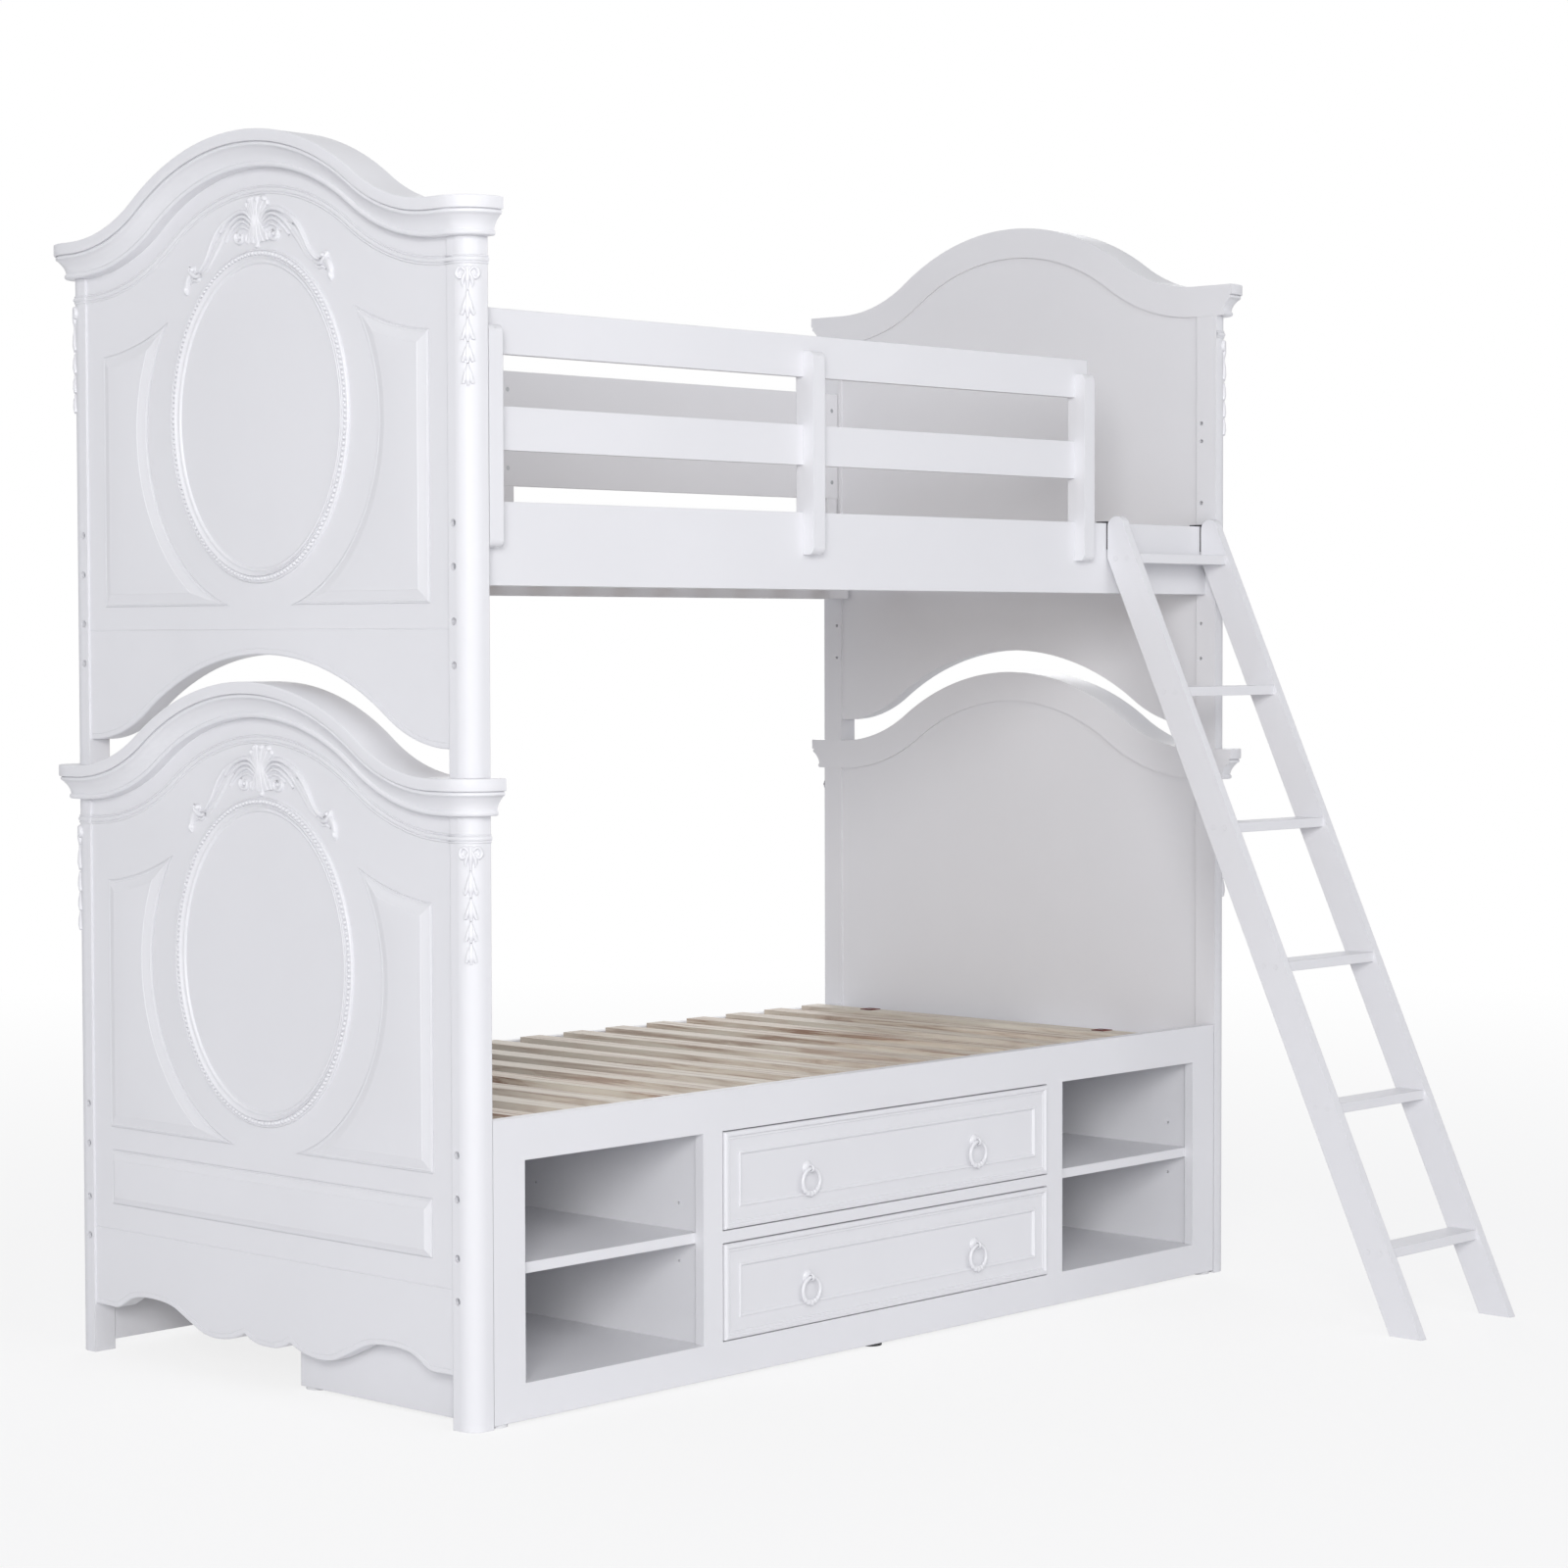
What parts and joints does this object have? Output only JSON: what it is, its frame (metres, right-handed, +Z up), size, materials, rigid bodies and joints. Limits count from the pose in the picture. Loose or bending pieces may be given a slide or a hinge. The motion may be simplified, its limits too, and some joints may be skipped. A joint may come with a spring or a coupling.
{
  "type": "bunk bed with ladder",
  "caption": "Twin-over-twin bunk bed with arched panelled ends, slatted decks, guard rails, a storage base with drawers and shelf bays, and a hook-on ladder.",
  "frame": {"origin": "centre of the bounding box in plan, at floor level", "axes": "+X along the bed towards the ladder end, +Y from the front with the ladder and drawers to the back, +Z up"},
  "size_m": [2.102, 1.771, 2.108],
  "materials": {
    "lacquer": "white satin lacquer",
    "pine": "planed, unfinished",
    "webbing": "woven strap",
    "steel": "zinc plated",
    "dark_steel": "dark satin",
    "glide": "matt",
    "painted_metal": "white satin"
  },
  "bodies": {
    "frame": {"post_lower_left_front": "lacquer", "post_lower_left_back": "lacquer", "post_lower_right_front": "lacquer", "post_lower_right_back": "lacquer", "post_upper_left_front": "lacquer", "post_upper_left_back": "lacquer", "post_upper_right_front": "lacquer", "post_upper_right_back": "lacquer", "end_panel_lower_left": "lacquer", "end_panel_lower_right": "lacquer", "end_panel_upper_left": "lacquer", "end_panel_upper_right": "lacquer", "crown_lower_left": "lacquer", "crown_lower_right": "lacquer", "crown_upper_left": "lacquer", "crown_upper_right": "lacquer", "neck_mouldings": "lacquer", "oval_frames": "lacquer", "carved_onlays": "lacquer", "post_drops": "lacquer", "stacking_pins": "steel", "side_rail_front": "lacquer", "side_rail_back": "lacquer", "back_support_panel": "lacquer", "slat_cleats": "lacquer", "slats_lower": "pine", "slats_upper": "pine", "slat_webbing": "webbing", "guard_front_boards": "lacquer", "guard_front_battens": "lacquer", "guard_back_boards": "lacquer", "guard_back_battens": "lacquer", "frame_bolts": "steel", "barrel_nuts": "steel", "guard_screws": "steel", "face_frame": "lacquer", "storage_sides": "lacquer", "storage_partitions": "lacquer", "storage_bottom": "lacquer", "storage_deck": "lacquer", "storage_back": "lacquer", "floor_glides": "glide", "shelves": "lacquer", "shelf_pins": "steel", "drawer_runners": "steel"},
    "drawer_upper": {"drawer_upper_front": "lacquer", "drawer_upper_box": "lacquer", "drawer_upper_plates": "painted_metal"},
    "drawer_lower": {"drawer_lower_front": "lacquer", "drawer_lower_box": "lacquer", "drawer_lower_plates": "painted_metal"},
    "pull_upper_left": {"pull_upper_left_ring": "painted_metal"},
    "pull_upper_right": {"pull_upper_right_ring": "painted_metal"},
    "pull_lower_left": {"pull_lower_left_ring": "painted_metal"},
    "pull_lower_right": {"pull_lower_right_ring": "painted_metal"},
    "ladder": {"ladder_rails": "lacquer", "ladder_steps": "lacquer", "ladder_hooks": "dark_steel", "ladder_screws": "steel"}
  },
  "joints": [
    {"name": "drawer_upper_slide", "type": "slide", "parent": "frame", "child": "drawer_upper", "axis": [0, -1, 0], "range_m": [0, 0.34]},
    {"name": "drawer_lower_slide", "type": "slide", "parent": "frame", "child": "drawer_lower", "axis": [0, -1, 0], "range_m": [0, 0.34]},
    {"name": "pull_upper_left_hinge", "type": "hinge", "parent": "drawer_upper", "child": "pull_upper_left", "pos_m": [-0.227, -0.2045, 0.3405], "axis": [-1, 0, 0], "range_deg": [0, 95]},
    {"name": "pull_upper_right_hinge", "type": "hinge", "parent": "drawer_upper", "child": "pull_upper_right", "pos_m": [0.227, -0.2045, 0.3405], "axis": [-1, 0, 0], "range_deg": [0, 95]},
    {"name": "pull_lower_left_hinge", "type": "hinge", "parent": "drawer_lower", "child": "pull_lower_left", "pos_m": [-0.227, -0.2045, 0.1495], "axis": [-1, 0, 0], "range_deg": [0, 95]},
    {"name": "pull_lower_right_hinge", "type": "hinge", "parent": "drawer_lower", "child": "pull_lower_right", "pos_m": [0.227, -0.2045, 0.1495], "axis": [-1, 0, 0], "range_deg": [0, 95]},
    {"name": "ladder_lift", "type": "slide", "parent": "frame", "child": "ladder", "axis": [0, 0, 1], "range_m": [0, 0.15]}
  ]
}
